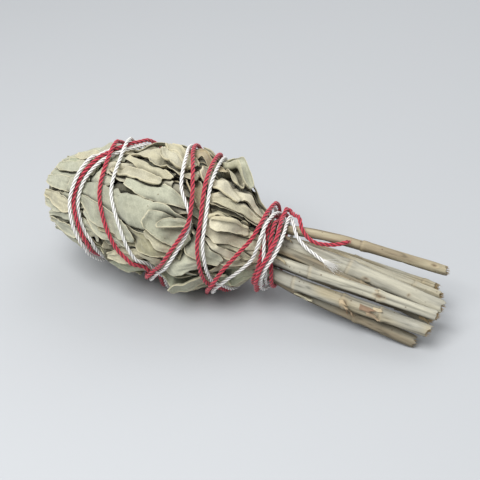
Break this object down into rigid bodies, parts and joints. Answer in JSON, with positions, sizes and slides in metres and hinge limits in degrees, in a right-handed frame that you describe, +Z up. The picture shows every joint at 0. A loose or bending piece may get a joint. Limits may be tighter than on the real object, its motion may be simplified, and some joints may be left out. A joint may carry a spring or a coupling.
{
  "type": "herb smudge stick",
  "caption": "Bundle of dried sage leaves packed round cut stems, bound with twisted cords wound round the leaves and the neck, lying on its side.",
  "frame": {"origin": "centre of the bundle's footprint, on the surface it lies on", "axes": "+X along the bundle towards the cut stem ends, +Z up, +Y away from the side where the cord crosses"},
  "size_m": [0.1852, 0.0685, 0.0669],
  "materials": {
    "leaf": "dry velvety grey-green leaf with pale rims",
    "inner_leaf": "dry packed leaves, dull olive brown",
    "stem": "dry woody stem, matte, with bark flecks",
    "red_cord": "twisted red cotton cord, soft sheen",
    "white_cord": "twisted off-white cotton cord, soft sheen"
  },
  "bodies": {
    "root": {"broad_leaf": "leaf", "top_leaf": "leaf", "second_leaf": "leaf", "tucked_round_leaf": "leaf", "olive_leaf": "leaf", "curled_neck_leaf": "leaf", "standing_leaf": "leaf", "neck_leaf_upper": "leaf", "neck_leaf_middle": "leaf", "lower_sweep_leaf": "leaf", "belly_leaf": "leaf", "neck_belly_leaf": "leaf", "neck_lower_leaf": "leaf", "side_sweep_leaf": "leaf", "fold_leaf_between_cords": "leaf", "cream_leaf": "leaf", "tip_leaf_front": "leaf", "tip_leaf_upper": "leaf", "tip_leaf_top": "leaf", "tip_leaf_low": "leaf", "tip_leaf_under": "leaf", "far_upper_leaf_1": "leaf", "far_upper_leaf_2": "leaf", "far_upper_leaf_3": "leaf", "far_upper_leaf_4": "leaf", "far_upper_leaf_5": "leaf", "far_upper_leaf_6": "leaf", "far_neck_leaf_1": "leaf", "far_neck_leaf_2": "leaf", "far_neck_leaf_3": "leaf", "far_neck_leaf_4": "leaf", "far_neck_leaf_5": "leaf", "far_neck_leaf_6": "leaf", "far_tip_leaf_1": "leaf", "far_tip_leaf_2": "leaf", "far_tip_leaf_3": "leaf", "far_tip_leaf_4": "leaf", "far_tip_leaf_5": "leaf", "far_tip_leaf_6": "leaf", "packed_leaves": "inner_leaf", "stem_top": "stem", "stem_far": "stem", "stem_hidden": "stem", "stem_thick": "stem", "stem_brown": "stem", "stem_front": "stem", "stem_torn": "stem", "stem_low": "stem", "stem_back_low": "stem", "stem_core": "stem", "petiole_stub": "stem", "broken_twig": "stem", "leaf_scrap": "leaf", "red_cord": "red_cord", "white_cord": "white_cord"}
  },
  "joints": []
}
